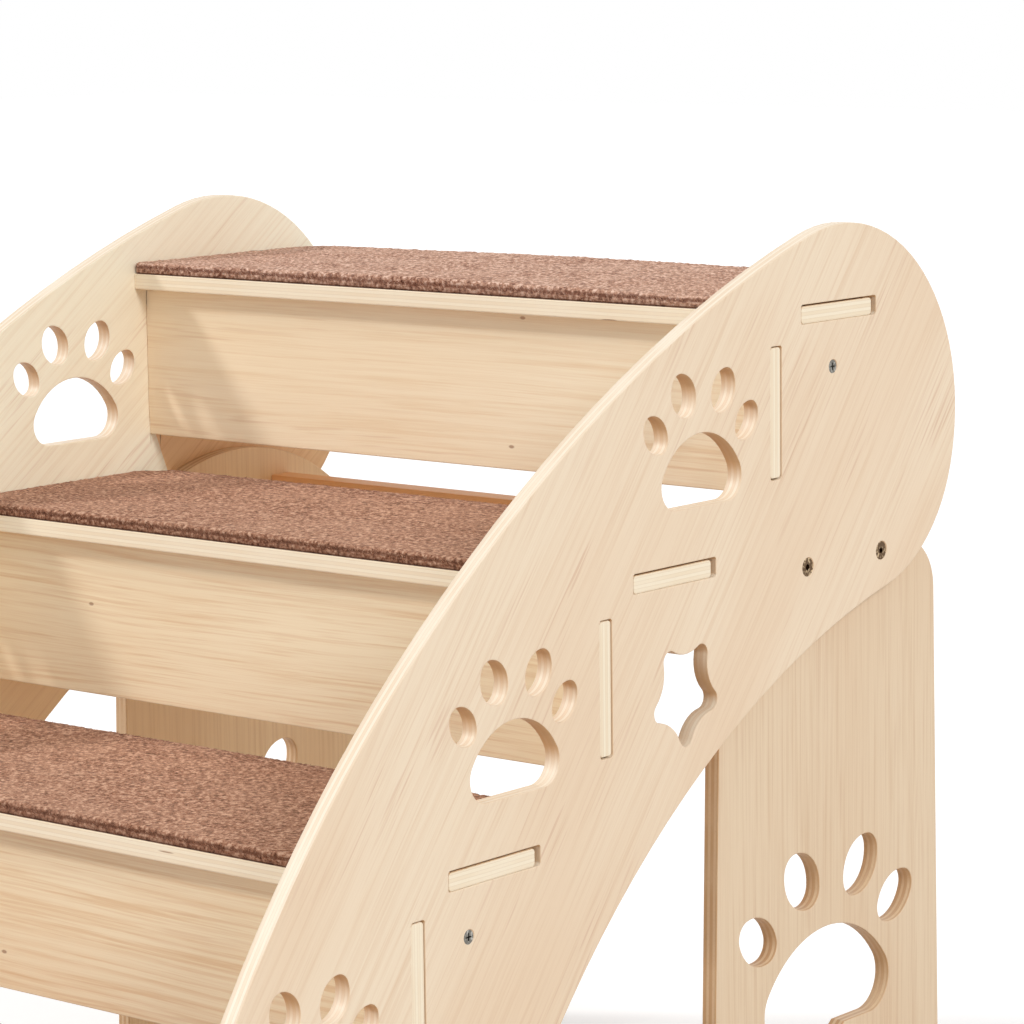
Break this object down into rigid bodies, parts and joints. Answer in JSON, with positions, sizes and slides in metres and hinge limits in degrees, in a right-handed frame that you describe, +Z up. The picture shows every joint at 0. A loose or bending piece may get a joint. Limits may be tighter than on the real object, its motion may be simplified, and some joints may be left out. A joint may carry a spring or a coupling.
{
  "type": "pet stairs",
  "caption": "Pet stairs: carpeted plywood steps slotted between two arched side panels with paw and star cut-outs, on bolted rear legs.",
  "frame": {"origin": "on the floor, under the middle of the whole object's box", "axes": "+Z up; +Y along the climb, from the lowest step to the rear legs; +X to the right of something climbing"},
  "size_m": [0.6, 0.874, 0.694],
  "materials": {
    "panel_ply": "satin pale plywood, grain along the climb",
    "leg_ply": "satin pale plywood, upright grain",
    "board_ply": "satin pale plywood, level grain",
    "bar_wood": "plain solid wood",
    "carpet": "short mottled brown pile, darker at its edges",
    "bronze_bolt": "antique bronze plating",
    "steel_screw": "zinc plating",
    "insert_metal": "plain, out of sight"
  },
  "bodies": {
    "root": {"side_panel_left": "panel_ply", "side_panel_right": "panel_ply", "leg_left": "leg_ply", "leg_right": "leg_ply", "tread_1": "board_ply", "tread_2": "board_ply", "tread_3": "board_ply", "tread_4": "board_ply", "riser_1": "board_ply", "riser_2": "board_ply", "riser_3": "board_ply", "riser_4": "board_ply", "carpet_1": "carpet", "carpet_2": "carpet", "carpet_3": "carpet", "carpet_4": "carpet", "rail_front": "bar_wood", "rail_rear": "bar_wood", "tie_bar_lower": "bar_wood", "tie_bar_upper": "bar_wood", "tie_screws": "steel_screw", "leg_bolts": "bronze_bolt", "insert_nuts": "insert_metal"}
  },
  "joints": []
}
